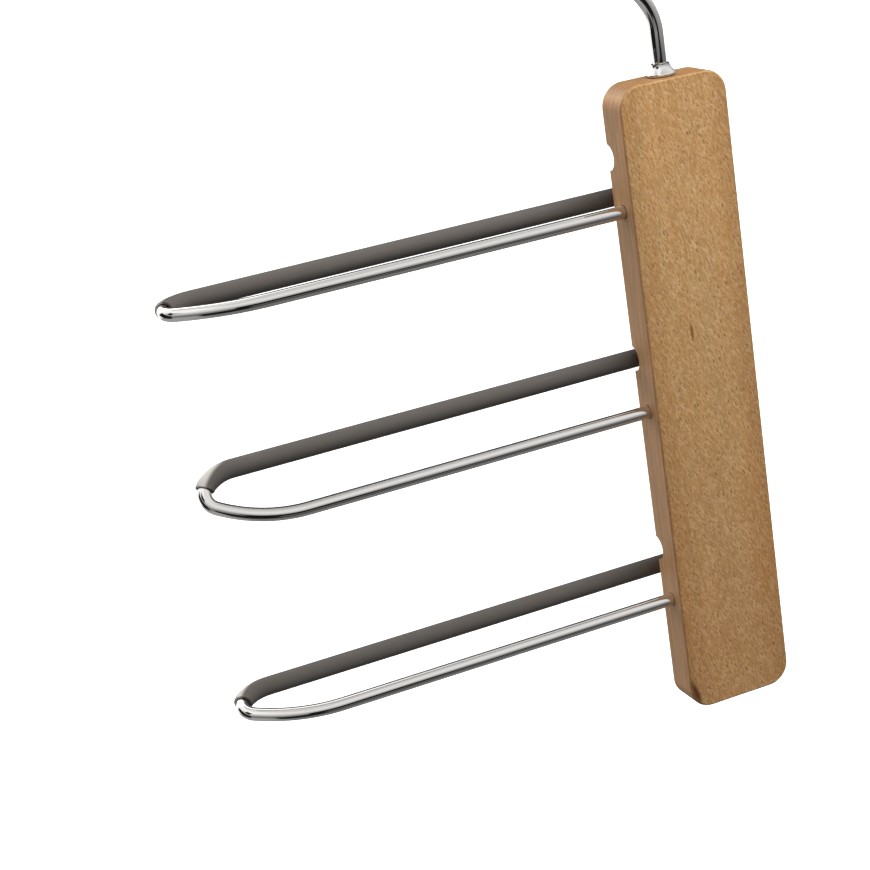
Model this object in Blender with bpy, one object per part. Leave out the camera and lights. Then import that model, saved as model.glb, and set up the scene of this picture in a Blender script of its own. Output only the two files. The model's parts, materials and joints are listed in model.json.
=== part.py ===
"""Multi-tier trouser hanger: a beech board, three chromed loops that swing, and a swan-neck hook.

The origin is where the hook rests on the wardrobe rail. +X runs from the hook to the board,
+Y is the back, where the sleeved legs swing, and +Z is up. Lengths are in metres.
"""
import math

import bmesh
import bpy

# Rod stock and fits
ROD_RADIUS = 0.004
END_CHAMFER = 0.0006
FIT_GAP = 0.0003
SIDES = 16

# Loops: the pivot leg rises in an easy bend, turns back in a tight one and settles in a shoulder bend
LEG_SPACING = 0.0345
LEG_STRAIGHT = 0.2202
EASY_BEND_RADIUS = 0.0965
EASY_BEND_TURN = math.radians(31.6)
SHOULDER_RADIUS = 0.027
SHOULDER_TURN = math.radians(36.6)
FREE_REACH = 0.024
PIVOT_DEPTH = 0.046
TIER_PITCH = 0.124

# Sleeves and their end caps
SLEEVE_WALL = 0.0013
SLEEVE_START_TURN = math.radians(121)
CAP_LENGTH = 0.012
CAP_END_WALL = 0.003
CAP_ROUND = 0.0024

# Friction bands and retaining pins
BAND_OFFSET = 0.010
BAND_WIDTH = 0.008
BAND_THICKNESS = 0.0008
PIN_OFFSET = 0.034
PIN_RADIUS = 0.0015
PIN_FRONT_WALL = 0.006
PIN_BITE = 0.001

# Board
BOARD_WIDTH = 0.070
BOARD_THICKNESS = 0.024
BOARD_END_MARGIN = 0.0735
BOARD_CORNER_RADIUS = 0.014
BOARD_EDGE_ROUND = 0.0014
NOTCH_CLEARANCE = 0.0024
NOTCH_INSET = 0.001

# Hook and its fittings
BALANCE_OFFSET = 0.085
HOOK_INNER_RADIUS = 0.018
HOOK_TURN = math.radians(200)
SHANK_LENGTH = 0.015
NECK_STRAIGHT = 0.025
NECK_RADIUS = 0.035
NECK_TURN = math.radians(60)
HOOK_END_CLEARANCE = 0.002
INSERT_LENGTH = 0.030
INSERT_WALL = 0.0027
FERRULE_HEIGHT = 0.007
FERRULE_FOOT = 0.0014
FERRULE_OVERLAP = 0.0015
FERRULE_NECK_WALL = 0.0012

# How far a cutter stands out of the face that it cuts
CUT_MARGIN = 0.005

# Sizes that follow from the ones above
BORE_RADIUS = ROD_RADIUS + FIT_GAP
SLEEVE_RADIUS = BORE_RADIUS + SLEEVE_WALL
EASY_BEND_RISE = EASY_BEND_RADIUS * (1 - math.cos(EASY_BEND_TURN))
SHOULDER_RISE = SHOULDER_RADIUS * (1 - math.cos(SHOULDER_TURN))
TIGHT_BEND_RISE = LEG_SPACING - EASY_BEND_RISE - SHOULDER_RISE
TIGHT_BEND_RADIUS = TIGHT_BEND_RISE / (math.cos(EASY_BEND_TURN) + math.cos(SHOULDER_TURN))
TIGHT_BEND_END = math.pi - SHOULDER_TURN
CAP_END = FREE_REACH + FIT_GAP + CAP_END_WALL
SLEEVE_REACH = CAP_END - CAP_LENGTH - FIT_GAP
PIN_LENGTH = BOARD_THICKNESS - PIN_FRONT_WALL
PIN_SEAT_RADIUS = ROD_RADIUS - PIN_BITE
PIN_HEIGHT = PIN_SEAT_RADIUS + FIT_GAP + PIN_RADIUS
BAND_INNER_RADIUS = ROD_RADIUS - BAND_THICKNESS
NOTCH_RADIUS = SLEEVE_RADIUS + NOTCH_CLEARANCE
INSERT_RADIUS = BORE_RADIUS + INSERT_WALL
FERRULE_RADIUS = INSERT_RADIUS + FERRULE_OVERLAP
HOOK_SEAT_DEPTH = INSERT_LENGTH - HOOK_END_CLEARANCE

# A notch is centred on the board's back, a little nearer to the pivot than the sleeve
BOARD_BACK = BOARD_THICKNESS / 2
NOTCH_HEIGHT = math.sqrt((LEG_SPACING - NOTCH_INSET) ** 2 - BOARD_BACK ** 2)

# A loop's angle is 0 straight back and grows upwards
TIERS = (
    ("top", math.radians(3.0)),
    ("middle", math.radians(56.8)),
    ("bottom", math.radians(17.3)),
)

# The swan neck carries the hook from the board's middle to the balance line
HOOK_ROD_RADIUS = HOOK_INNER_RADIUS + ROD_RADIUS
NECK_SHIFT = BALANCE_OFFSET + BOARD_WIDTH / 2 - HOOK_ROD_RADIUS
NECK_DIAGONAL = (NECK_SHIFT - 2 * NECK_RADIUS * (1 - math.cos(NECK_TURN))) / math.sin(NECK_TURN)
NECK_RISE = 2 * NECK_RADIUS * math.sin(NECK_TURN) + NECK_DIAGONAL * math.cos(NECK_TURN)
BOARD_LEFT = BALANCE_OFFSET
BOARD_MIDDLE = BOARD_LEFT + BOARD_WIDTH / 2
BOARD_TOP = -(HOOK_INNER_RADIUS + SHANK_LENGTH + NECK_RISE + NECK_STRAIGHT)
BOARD_HEIGHT = 2 * BOARD_END_MARGIN + (len(TIERS) - 1) * TIER_PITCH

# Turned pieces are drawn along X; these turns stand them along Y or Z
ALONG_Y = (0, 0, math.pi / 2)
ALONG_Z = (0, -math.pi / 2, 0)
# The hook's plane: along the rod is up, across it is left
HOOK_PLANE = (math.pi / 2, -math.pi / 2, 0)
# A loop is drawn pointing away from the board
LOOP_PLANE = (0, math.pi, 0)


def clear_scene():
    for item in list(bpy.data.objects):
        bpy.data.objects.remove(item, do_unlink=True)


def material(name, colour, roughness, metallic=0.0):
    made = bpy.data.materials.new(name)
    made.use_nodes = True
    shader = made.node_tree.nodes["Principled BSDF"]
    shader.inputs["Base Color"].default_value = (*colour, 1.0)
    shader.inputs["Roughness"].default_value = roughness
    shader.inputs["Metallic"].default_value = metallic
    return made


def new_object(name, shape, surface=None, sharp_angle=math.radians(35)):
    """An object from a bmesh, shaded smooth except at its hard edges."""
    bmesh.ops.recalc_face_normals(shape, faces=shape.faces)
    mesh = bpy.data.meshes.new(name)
    shape.to_mesh(mesh)
    shape.free()
    mesh.shade_smooth()
    mesh.set_sharp_from_angle(angle=sharp_angle)
    made = bpy.data.objects.new(name, mesh)
    bpy.context.collection.objects.link(made)
    if surface:
        mesh.materials.append(surface)
    return made


def place(made, location=(0, 0, 0), rotation=(0, 0, 0), parent=None):
    made.location = location
    made.rotation_euler = rotation
    made.parent = parent
    return made


# Round stock: stations (along, across, heading, radius) in a plane, skinned with rings

def bent_line(start, moves, radius, bend_step=math.radians(12)):
    """Stations of a rod bent from a straight bar; a move is ("run", length) or ("bend", radius, turn)."""
    along, across, heading = start
    stations = [(along, across, heading, radius)]
    for kind, *size in moves:
        if kind == "run":
            along += size[0] * math.cos(heading)
            across += size[0] * math.sin(heading)
            stations.append((along, across, heading, radius))
            continue
        bend_radius, turn = size
        side = math.copysign(bend_radius, turn)
        centre = (along - side * math.sin(heading), across + side * math.cos(heading))
        steps = max(2, math.ceil(abs(turn) / bend_step))
        first = heading
        for step in range(1, steps + 1):
            heading = first + turn * step / steps
            along = centre[0] + side * math.sin(heading)
            across = centre[1] - side * math.cos(heading)
            stations.append((along, across, heading, radius))
    return stations


def straight_line(profile, across=0.0):
    """Stations of a turned piece: (along, radius) pairs on one straight axis."""
    return [(along, across, 0.0, radius) for along, radius in profile]


def rounded_end(station, steps=4, last_lift=math.radians(80)):
    """Stations that close a rod's end with a ball, left flat at its very tip."""
    along, across, heading, radius = station
    ball = []
    for step in range(1, steps + 1):
        lift = last_lift * step / steps
        reach = radius * math.sin(lift)
        ball.append((
            along + reach * math.cos(heading),
            across + reach * math.sin(heading),
            heading,
            radius * math.cos(lift),
        ))
    return ball


def ring(shape, station):
    along, across, heading, radius = station
    points = []
    for side in range(SIDES):
        angle = 2 * math.pi * side / SIDES
        out = radius * math.cos(angle)
        points.append(shape.verts.new((
            along - out * math.sin(heading),
            across + out * math.cos(heading),
            radius * math.sin(angle),
        )))
    return points


def round_piece(name, stations, surface=None, hollow=False):
    """Skin the stations; a hollow piece runs down its outside and back along its bore."""
    shape = bmesh.new()
    rings = [ring(shape, station) for station in stations]
    pairs = list(zip(rings, rings[1:]))
    if hollow:
        pairs.append((rings[-1], rings[0]))
    else:
        shape.faces.new(rings[0])
        shape.faces.new(rings[-1])
    for near, far in pairs:
        for side in range(SIDES):
            following = (side + 1) % SIDES
            shape.faces.new((near[side], near[following], far[following], far[side]))
    return new_object(name, shape, surface)


def cut(target, cutter):
    """Take a hidden cutter out of the target."""
    cutter.hide_render = True
    cutter.display_type = "WIRE"
    modifier = target.modifiers.new(cutter.name, "BOOLEAN")
    modifier.operation = "DIFFERENCE"
    modifier.solver = "EXACT"
    modifier.object = cutter


# Board

def board_blank(surface):
    """The board before drilling: corners first, then every edge of its two faces."""
    shape = bmesh.new()
    bmesh.ops.create_cube(shape, size=1.0)
    bmesh.ops.scale(shape, vec=(BOARD_WIDTH, BOARD_THICKNESS, BOARD_HEIGHT), verts=shape.verts)
    corners = [edge for edge in shape.edges if edge.verts[0].co.y * edge.verts[1].co.y < 0]
    bmesh.ops.bevel(shape, geom=corners, offset=BOARD_CORNER_RADIUS, segments=8, profile=0.5, affect="EDGES")
    rims = [edge for edge in shape.edges if edge.verts[0].co.y * edge.verts[1].co.y > 0]
    bmesh.ops.bevel(shape, geom=rims, offset=BOARD_EDGE_ROUND, segments=3, profile=0.5, affect="EDGES")
    board = new_object("spine_board", shape, surface)
    return place(board, (BOARD_MIDDLE, 0, BOARD_TOP - BOARD_HEIGHT / 2))


def tier_height(tier):
    return BOARD_TOP - BOARD_END_MARGIN - tier * TIER_PITCH


def pivot_bore(name):
    depth = PIVOT_DEPTH + FIT_GAP
    return round_piece(name, straight_line([(-CUT_MARGIN, BORE_RADIUS), (depth, BORE_RADIUS)]))


def parking_notch(name):
    """A half-round channel with a ball end, long enough for the sleeve's capped end."""
    channel = straight_line([(-CUT_MARGIN, NOTCH_RADIUS), (CAP_END + FIT_GAP, NOTCH_RADIUS)])
    return round_piece(name, channel + rounded_end(channel[-1]))


def blind_hole(name, radius, depth):
    """A hole with a little room round the piece that goes into it and below it."""
    radius += FIT_GAP
    depth += 2 * FIT_GAP
    return round_piece(name, straight_line([(-depth, radius), (CUT_MARGIN, radius)]))


def drilled_board(surface):
    board = board_blank(surface)
    for tier, (level, _) in enumerate(TIERS):
        height = tier_height(tier)
        cut(board, place(pivot_bore(f"pivot_bore_{level}"), (BOARD_LEFT, 0, height)))
        notch = parking_notch(f"parking_notch_{level}")
        cut(board, place(notch, (BOARD_LEFT, BOARD_BACK, height + NOTCH_HEIGHT)))
        hole = blind_hole(f"pin_hole_{level}", PIN_RADIUS, PIN_LENGTH)
        cut(board, place(hole, (BOARD_LEFT + PIN_OFFSET, BOARD_BACK, height + PIN_HEIGHT), ALONG_Y))
    seat = blind_hole("insert_bore", INSERT_RADIUS, INSERT_LENGTH)
    cut(board, place(seat, (BOARD_MIDDLE, 0, BOARD_TOP), ALONG_Z))
    return board


# Loops

def pivot_leg_profile():
    """The leg inside the board: chamfered end, seat for the pin, seat for the friction band."""
    pin_half = PIN_RADIUS + FIT_GAP
    band_seat = BAND_INNER_RADIUS - FIT_GAP
    return [
        (-PIVOT_DEPTH, ROD_RADIUS - END_CHAMFER),
        (-PIVOT_DEPTH + END_CHAMFER, ROD_RADIUS),
        (-PIN_OFFSET - pin_half, ROD_RADIUS),
        (-PIN_OFFSET - pin_half, PIN_SEAT_RADIUS),
        (-PIN_OFFSET + pin_half, PIN_SEAT_RADIUS),
        (-PIN_OFFSET + pin_half, ROD_RADIUS),
        (-BAND_OFFSET - BAND_WIDTH - FIT_GAP, ROD_RADIUS),
        (-BAND_OFFSET - BAND_WIDTH - FIT_GAP, band_seat),
        (-BAND_OFFSET + FIT_GAP, band_seat),
        (-BAND_OFFSET + FIT_GAP, ROD_RADIUS),
    ]


def tight_bend_station(turn):
    """The centre line's point in the tight bend where the rod has turned this far."""
    start = LEG_STRAIGHT + EASY_BEND_RADIUS * math.sin(EASY_BEND_TURN)
    reach = TIGHT_BEND_RADIUS * (math.sin(turn) - math.sin(EASY_BEND_TURN))
    rise = TIGHT_BEND_RADIUS * (math.cos(EASY_BEND_TURN) - math.cos(turn))
    return start + reach, EASY_BEND_RISE + rise, turn


def return_moves(turned, reach):
    """From this turn in the tight bend, by the shoulder bend, to this far past the board's side."""
    shoulder_length = SHOULDER_RADIUS * math.sin(SHOULDER_TURN)
    return (
        ("bend", TIGHT_BEND_RADIUS, TIGHT_BEND_END - turned),
        ("bend", SHOULDER_RADIUS, SHOULDER_TURN),
        ("run", tight_bend_station(TIGHT_BEND_END)[0] - shoulder_length + reach),
    )


def loop_rod(name, surface):
    easy_bend = ("bend", EASY_BEND_RADIUS, EASY_BEND_TURN)
    moves = (easy_bend, *return_moves(EASY_BEND_TURN, FREE_REACH - END_CHAMFER))
    bent = bent_line((LEG_STRAIGHT, 0, 0), moves, ROD_RADIUS)
    free_end = (-FREE_REACH, LEG_SPACING, math.pi, ROD_RADIUS - END_CHAMFER)
    return round_piece(name, straight_line(pivot_leg_profile()) + bent + [free_end], surface)


def grip_sleeve(name, surface):
    start = tight_bend_station(SLEEVE_START_TURN)
    moves = return_moves(SLEEVE_START_TURN, SLEEVE_REACH)
    outside = bent_line(start, moves, SLEEVE_RADIUS)
    bore = bent_line(start, moves, BORE_RADIUS)
    return round_piece(name, outside + bore[::-1], surface, hollow=True)


def sleeve_cap(name, surface):
    """A push-on cup with a rounded end, flush with the sleeve."""
    mouth = -CAP_END + CAP_LENGTH
    profile = [(-FREE_REACH - FIT_GAP, BORE_RADIUS), (mouth, BORE_RADIUS), (mouth, SLEEVE_RADIUS)]
    for degrees in (0, 30, 60, 90):
        lift = math.radians(degrees)
        profile.append((
            -CAP_END + CAP_ROUND * (1 - math.sin(lift)),
            SLEEVE_RADIUS - CAP_ROUND * (1 - math.cos(lift)),
        ))
    return round_piece(name, straight_line(profile, LEG_SPACING), surface)


def friction_band(name, surface):
    near = -BAND_OFFSET
    far = near - BAND_WIDTH
    profile = [(near, ROD_RADIUS), (far, ROD_RADIUS), (far, BAND_INNER_RADIUS), (near, BAND_INNER_RADIUS)]
    return round_piece(name, straight_line(profile), surface, hollow=True)


def retaining_pin(name, surface):
    """A chamfered pin, its outer end just below the board's back."""
    profile = [
        (-PIN_LENGTH - FIT_GAP, PIN_RADIUS - FIT_GAP),
        (-PIN_LENGTH, PIN_RADIUS),
        (-2 * FIT_GAP, PIN_RADIUS),
        (-FIT_GAP, PIN_RADIUS - FIT_GAP),
    ]
    return round_piece(name, straight_line(profile), surface)


def build_tier(tier, level, angle, chrome, grip, cap, rubber, steel):
    height = tier_height(tier)
    pivot = bpy.data.objects.new(f"pivot_{level}", None)
    bpy.context.collection.objects.link(pivot)
    place(pivot, (BOARD_LEFT, 0, height), (angle, 0, 0))
    place(loop_rod(f"loop_rod_{level}", chrome), rotation=LOOP_PLANE, parent=pivot)
    place(grip_sleeve(f"grip_sleeve_{level}", grip), rotation=LOOP_PLANE, parent=pivot)
    place(sleeve_cap(f"sleeve_cap_{level}", cap), rotation=LOOP_PLANE, parent=pivot)
    place(friction_band(f"friction_band_{level}", rubber), rotation=LOOP_PLANE, parent=pivot)
    pin = retaining_pin(f"retaining_pin_{level}", steel)
    place(pin, (BOARD_LEFT + PIN_OFFSET, BOARD_BACK, height + PIN_HEIGHT), ALONG_Y)


# Hook and its fittings

def hook(surface):
    moves = (
        ("run", HOOK_SEAT_DEPTH + NECK_STRAIGHT - END_CHAMFER),
        ("bend", NECK_RADIUS, NECK_TURN),
        ("run", NECK_DIAGONAL),
        ("bend", NECK_RADIUS, -NECK_TURN),
        ("run", SHANK_LENGTH),
        ("bend", HOOK_ROD_RADIUS, HOOK_TURN),
    )
    foot = (-HOOK_SEAT_DEPTH, 0, 0, ROD_RADIUS - END_CHAMFER)
    bent = bent_line((-HOOK_SEAT_DEPTH + END_CHAMFER, 0, 0), moves, ROD_RADIUS)
    made = round_piece("hook", [foot] + bent + rounded_end(bent[-1]), surface)
    return place(made, (BOARD_MIDDLE, 0, BOARD_TOP), HOOK_PLANE)


def hook_insert(surface):
    foot = -INSERT_LENGTH - FIT_GAP
    top = -FIT_GAP
    profile = [(foot, INSERT_RADIUS), (top, INSERT_RADIUS), (top, BORE_RADIUS), (foot, BORE_RADIUS)]
    made = round_piece("hook_insert", straight_line(profile), surface, hollow=True)
    return place(made, (BOARD_MIDDLE, 0, BOARD_TOP), ALONG_Z)


def hook_ferrule(surface, steps=5):
    """A collar that flares from the hook's stem to a foot on the board's top."""
    neck_radius = BORE_RADIUS + FERRULE_NECK_WALL
    flare = FERRULE_RADIUS - neck_radius
    rise = FERRULE_HEIGHT - FERRULE_FOOT
    outside = [(FIT_GAP, FERRULE_RADIUS)]
    for step in range(steps + 1):
        turn = math.pi / 2 * step / steps
        outside.append((
            FIT_GAP + FERRULE_FOOT + rise * step / steps,
            neck_radius + flare * (1 - math.sin(turn)),
        ))
    bore = [(FIT_GAP + FERRULE_HEIGHT, BORE_RADIUS), (FIT_GAP, BORE_RADIUS)]
    made = round_piece("hook_ferrule", straight_line(outside + bore), surface, hollow=True)
    return place(made, (BOARD_MIDDLE, 0, BOARD_TOP), ALONG_Z)


def main():
    clear_scene()
    beech = material("beech", (0.46, 0.26, 0.10), 0.45)
    chrome = material("chrome", (0.80, 0.80, 0.80), 0.08, 1.0)
    grip = material("grip_sleeve_grey", (0.085, 0.080, 0.075), 0.5)
    cap = material("cap_grey", (0.045, 0.043, 0.040), 0.45)
    rubber = material("rubber_black", (0.02, 0.02, 0.02), 0.7)
    steel = material("pin_steel", (0.55, 0.55, 0.55), 0.3, 1.0)
    brass = material("insert_brass", (0.55, 0.38, 0.14), 0.35, 1.0)
    drilled_board(beech)
    for tier, (level, angle) in enumerate(TIERS):
        build_tier(tier, level, angle, chrome, grip, cap, rubber, steel)
    hook(chrome)
    hook_ferrule(chrome)
    hook_insert(brass)


main()
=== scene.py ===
"""Looks of the multi-tier trouser hanger: beech board, chromed loops, grey sleeves, swan-neck hook."""
import json
import math

import bmesh
import bpy
from mathutils import Euler, Matrix, Vector


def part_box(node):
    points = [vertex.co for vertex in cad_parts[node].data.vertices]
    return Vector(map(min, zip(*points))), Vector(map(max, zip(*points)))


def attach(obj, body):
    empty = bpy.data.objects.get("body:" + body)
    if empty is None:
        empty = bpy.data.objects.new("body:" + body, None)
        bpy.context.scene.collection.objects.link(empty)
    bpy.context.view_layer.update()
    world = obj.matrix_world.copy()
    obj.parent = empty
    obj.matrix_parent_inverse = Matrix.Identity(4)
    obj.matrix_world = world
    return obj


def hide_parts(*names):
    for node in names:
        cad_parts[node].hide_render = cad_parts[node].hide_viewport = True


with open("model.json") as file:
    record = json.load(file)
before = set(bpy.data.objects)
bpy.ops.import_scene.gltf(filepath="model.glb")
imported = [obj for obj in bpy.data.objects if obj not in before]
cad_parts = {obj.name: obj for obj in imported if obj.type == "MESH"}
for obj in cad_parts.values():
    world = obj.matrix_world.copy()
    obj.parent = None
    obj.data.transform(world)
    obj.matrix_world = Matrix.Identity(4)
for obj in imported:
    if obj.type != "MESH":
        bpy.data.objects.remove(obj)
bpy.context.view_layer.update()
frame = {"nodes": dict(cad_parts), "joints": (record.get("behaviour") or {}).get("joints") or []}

# Sizes in metres, as the solids have them
ROD_RADIUS = 0.004
END_CHAMFER = 0.0006
FIT_GAP = 0.0003
BORE_RADIUS = ROD_RADIUS + FIT_GAP
SLEEVE_RADIUS = 0.0056
LEG_SPACING = 0.0345
LEG_STRAIGHT = 0.2202
EASY_BEND_RADIUS = 0.0965
EASY_BEND_TURN = math.radians(31.6)
SHOULDER_RADIUS = 0.027
SHOULDER_TURN = math.radians(36.6)
EASY_BEND_RISE = EASY_BEND_RADIUS * (1 - math.cos(EASY_BEND_TURN))
SHOULDER_RISE = SHOULDER_RADIUS * (1 - math.cos(SHOULDER_TURN))
TIGHT_BEND_RISE = LEG_SPACING - EASY_BEND_RISE - SHOULDER_RISE
TIGHT_BEND_RADIUS = TIGHT_BEND_RISE / (math.cos(EASY_BEND_TURN) + math.cos(SHOULDER_TURN))
TIGHT_BEND_END = math.pi - SHOULDER_TURN
EASY_BEND_REACH = LEG_STRAIGHT + EASY_BEND_RADIUS * math.sin(EASY_BEND_TURN)
TIGHT_BEND_REACH = TIGHT_BEND_RADIUS * (math.sin(TIGHT_BEND_END) - math.sin(EASY_BEND_TURN))
SHOULDER_END = EASY_BEND_REACH + TIGHT_BEND_REACH - SHOULDER_RADIUS * math.sin(SHOULDER_TURN)
SLEEVE_START_TURN = math.radians(121)
FREE_REACH = 0.024
PIVOT_DEPTH = 0.046
CAP_LENGTH = 0.012
CAP_END = 0.0273
CAP_ROUND = 0.0024
SLEEVE_REACH = CAP_END - CAP_LENGTH - FIT_GAP
BAND_NEAR = 0.010
BAND_FAR = 0.018
BAND_SEAT_RADIUS = 0.0029
PIN_OFFSET = 0.034
PIN_RADIUS = 0.0015
PIN_LENGTH = 0.018
PIN_HEIGHT = 0.0048
PIN_SEAT_RADIUS = 0.003
BOARD_THICKNESS = 0.024
BOARD_CORNER_RADIUS = 0.014
BOARD_EDGE_ROUND = 0.0014
NOTCH_RADIUS = 0.008
NOTCH_INSET = 0.001
NOTCH_HEIGHT = math.sqrt((LEG_SPACING - NOTCH_INSET) ** 2 - (BOARD_THICKNESS / 2) ** 2)
INSERT_RADIUS = 0.007
INSERT_LENGTH = 0.030
HOOK_SEAT_DEPTH = 0.028
HOOK_ROD_RADIUS = 0.022
HOOK_TURN = math.radians(200)
SHANK_LENGTH = 0.015
NECK_STRAIGHT = 0.025
NECK_RADIUS = 0.035
NECK_TURN = math.radians(60)
FERRULE_HEIGHT = 0.007
FERRULE_FOOT = 0.0014
FERRULE_RADIUS = 0.0085
FERRULE_NECK_RADIUS = 0.0055

# Finer rounding that the solids leave out
LIP = 0.00045
EASED_EDGE = 0.0006

# Where the pieces sit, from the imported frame
board_low, board_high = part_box("spine_board")
BOARD_BACK = board_high.y
BOARD_TOP = board_high.z
BOARD_MIDDLE = (board_low.x + board_high.x) / 2
PIVOTS = {joint["child"].split("_")[0]: Vector(joint["pos_m"]) for joint in frame["joints"]}
LOOP_ANGLES = {
    "top": math.radians(3.0),
    "middle": math.radians(56.8),
    "bottom": math.radians(17.3),
}

# The swan neck carries the hook from the board's middle to the balance line, x = 0
NECK_SHIFT = BOARD_MIDDLE - HOOK_ROD_RADIUS
NECK_DIAGONAL = (NECK_SHIFT - 2 * NECK_RADIUS * (1 - math.cos(NECK_TURN))) / math.sin(NECK_TURN)

# How finely round stock, bends and rounded edges are drawn
ROD_SIDES = 48
PIN_SIDES = 32
WIDE_SIDES = 64
BEND_STEP = math.radians(2.5)
FLARE_STEPS = 12
CORNER_STEPS = 16
RIM_STEPS = 8
EASED_STEPS = 3


# Shader wiring

def put(tree, kind, inputs=None, **settings):
    """Place a node; an input given a socket is wired, and one given a value is set."""
    node = tree.nodes.new(kind)
    for name, value in settings.items():
        setattr(node, name, value)
    for name, value in (inputs or {}).items():
        if isinstance(value, bpy.types.NodeSocket):
            tree.links.new(value, node.inputs[name])
        else:
            node.inputs[name].default_value = value
    return node


def math_of(tree, operation, *given):
    return put(tree, "ShaderNodeMath", dict(enumerate(given)), operation=operation).outputs[0]


def vector_of(tree, operation, *given):
    return put(tree, "ShaderNodeVectorMath", dict(enumerate(given)), operation=operation).outputs["Vector"]


def length_of(tree, vector):
    return put(tree, "ShaderNodeVectorMath", {0: vector}, operation="LENGTH").outputs["Value"]


def split(tree, vector):
    return put(tree, "ShaderNodeSeparateXYZ", {"Vector": vector}).outputs


def noise(tree, at, scale, detail=2.0, roughness=0.5, distortion=0.0):
    inputs = {
        "Vector": at,
        "Scale": scale,
        "Detail": detail,
        "Roughness": roughness,
        "Distortion": distortion,
    }
    return put(tree, "ShaderNodeTexNoise", inputs).outputs["Fac"]


def stretched(tree, at, scale, lean=0.0, shift=0.0):
    """Coordinates leaned about Y and shifted along X, then scaled along each axis."""
    inputs = {"Vector": at, "Location": (shift, 0, 0), "Rotation": (0, lean, 0)}
    leaned = put(tree, "ShaderNodeMapping", inputs).outputs[0]
    return put(tree, "ShaderNodeMapping", {"Vector": leaned, "Scale": scale}).outputs[0]


def grain(tree, at, waves, detail=3.0, roughness=0.5, distortion=0.0, lean=0.0, shift=0.0):
    """Noise with its own number of waves in a millimetre along each axis."""
    return noise(tree, stretched(tree, at, waves, lean, shift), 1.0, detail, roughness, distortion)


def waves_of(size):
    """Waves in a millimetre, for marks of this size in millimetres."""
    return tuple(1 / length for length in size)


def remap(tree, value, low, high, to_low=0.0, to_high=1.0):
    """A soft step from low to high."""
    inputs = {"Value": value, "From Min": low, "From Max": high, "To Min": to_low, "To Max": to_high}
    return put(tree, "ShaderNodeMapRange", inputs, interpolation_type="SMOOTHSTEP").outputs["Result"]


def mixed(tree, factor, first, second, mode="MIX"):
    """Two colours in a share; a colour is (r, g, b) or a socket."""
    def colour(value):
        return value if isinstance(value, bpy.types.NodeSocket) else (*value, 1.0)
    inputs = {0: factor, 6: colour(first), 7: colour(second)}
    return put(tree, "ShaderNodeMix", inputs, data_type="RGBA", blend_type=mode).outputs[2]


def stained(tree, face, mask, share, colour):
    """A face with up to this share of a colour over it, where the mask is."""
    return mixed(tree, math_of(tree, "MULTIPLY", mask, share), face, colour)


def tinted(tree, face, mask, first, second):
    """A face multiplied by the first tint where the mask is 0, and by the second where it is 1."""
    return mixed(tree, 1.0, face, mixed(tree, mask, first, second), "MULTIPLY")


def new_group(name, inputs, outputs):
    tree = bpy.data.node_groups.new(name, "ShaderNodeTree")
    for label, kind, value in inputs:
        socket = tree.interface.new_socket(name=label, in_out="INPUT", socket_type=kind)
        if value is not None:
            socket.default_value = value
    for label, kind in outputs:
        tree.interface.new_socket(name=label, in_out="OUTPUT", socket_type=kind)
    return tree, put(tree, "NodeGroupInput").outputs, put(tree, "NodeGroupOutput")


def place_group(tree, group, inputs):
    return put(tree, "ShaderNodeGroup", inputs, node_tree=group).outputs


def new_finish(name):
    """A material with its Principled shader, and the piece's own coordinates in millimetres."""
    made = bpy.data.materials.new(name)
    made.use_nodes = True
    tree = made.node_tree
    shader = tree.nodes["Principled BSDF"]
    own = put(tree, "ShaderNodeTexCoord").outputs["Object"]
    return made, tree, shader, vector_of(tree, "MULTIPLY", own, (1000.0,) * 3)


def bump(tree, shader, height, depth):
    """Relief of the given depth in millimetres."""
    node = put(tree, "ShaderNodeBump", {"Height": height, "Distance": depth / 1000, "Strength": 1.0})
    tree.links.new(node.outputs[0], shader.inputs["Normal"])


# Effects that several finishes share

def handling_group():
    """Faint smears and hairlines on bright metal."""
    tree, given, result = new_group(
        "handling_marks",
        [
            ("At", "NodeSocketVector", None),
            ("Polish", "NodeSocketFloat", 0.05),
            ("Smear", "NodeSocketFloat", 0.05),
        ],
        [("Roughness", "NodeSocketFloat"), ("Height", "NodeSocketFloat")],
    )
    smear = remap(tree, noise(tree, given["At"], 0.09, 4.0, 0.6), 0.48, 0.75)
    rough = math_of(tree, "MULTIPLY_ADD", smear, given["Smear"], given["Polish"])
    hairline = grain(tree, given["At"], (0.05, 2.5, 2.5))
    tree.links.new(rough, result.inputs["Roughness"])
    tree.links.new(hairline, result.inputs["Height"])
    return tree


def skin_group():
    """The slightly uneven skin of extruded or moulded plastic and rubber."""
    tree, given, result = new_group(
        "plastic_skin",
        [
            ("At", "NodeSocketVector", None),
            ("Colour", "NodeSocketColor", (0.1, 0.1, 0.1, 1.0)),
            ("Haze", "NodeSocketColor", (0.2, 0.2, 0.2, 1.0)),
            ("Gloss", "NodeSocketFloat", 0.45),
        ],
        [("Colour", "NodeSocketColor"), ("Roughness", "NodeSocketFloat"), ("Height", "NodeSocketFloat")],
    )
    drawn = grain(tree, given["At"], (0.015, 0.55, 0.55), 4.0, 0.6)
    patchy = noise(tree, given["At"], 0.06, 3.0, 0.55)
    pebbled = noise(tree, given["At"], 2.6, 3.0, 0.6)
    dusty = math_of(tree, "MULTIPLY", remap(tree, patchy, 0.45, 0.8), remap(tree, drawn, 0.4, 0.75))
    rough = math_of(tree, "MULTIPLY_ADD", drawn, 0.12, given["Gloss"])
    tree.links.new(mixed(tree, dusty, given["Colour"], given["Haze"]), result.inputs["Colour"])
    tree.links.new(rough, result.inputs["Roughness"])
    tree.links.new(math_of(tree, "ADD", pebbled, drawn), result.inputs["Height"])
    return tree


HANDLING = handling_group()
SKIN = skin_group()


# Metal, plastic and rubber

METAL_SHADE = 0.94


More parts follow.
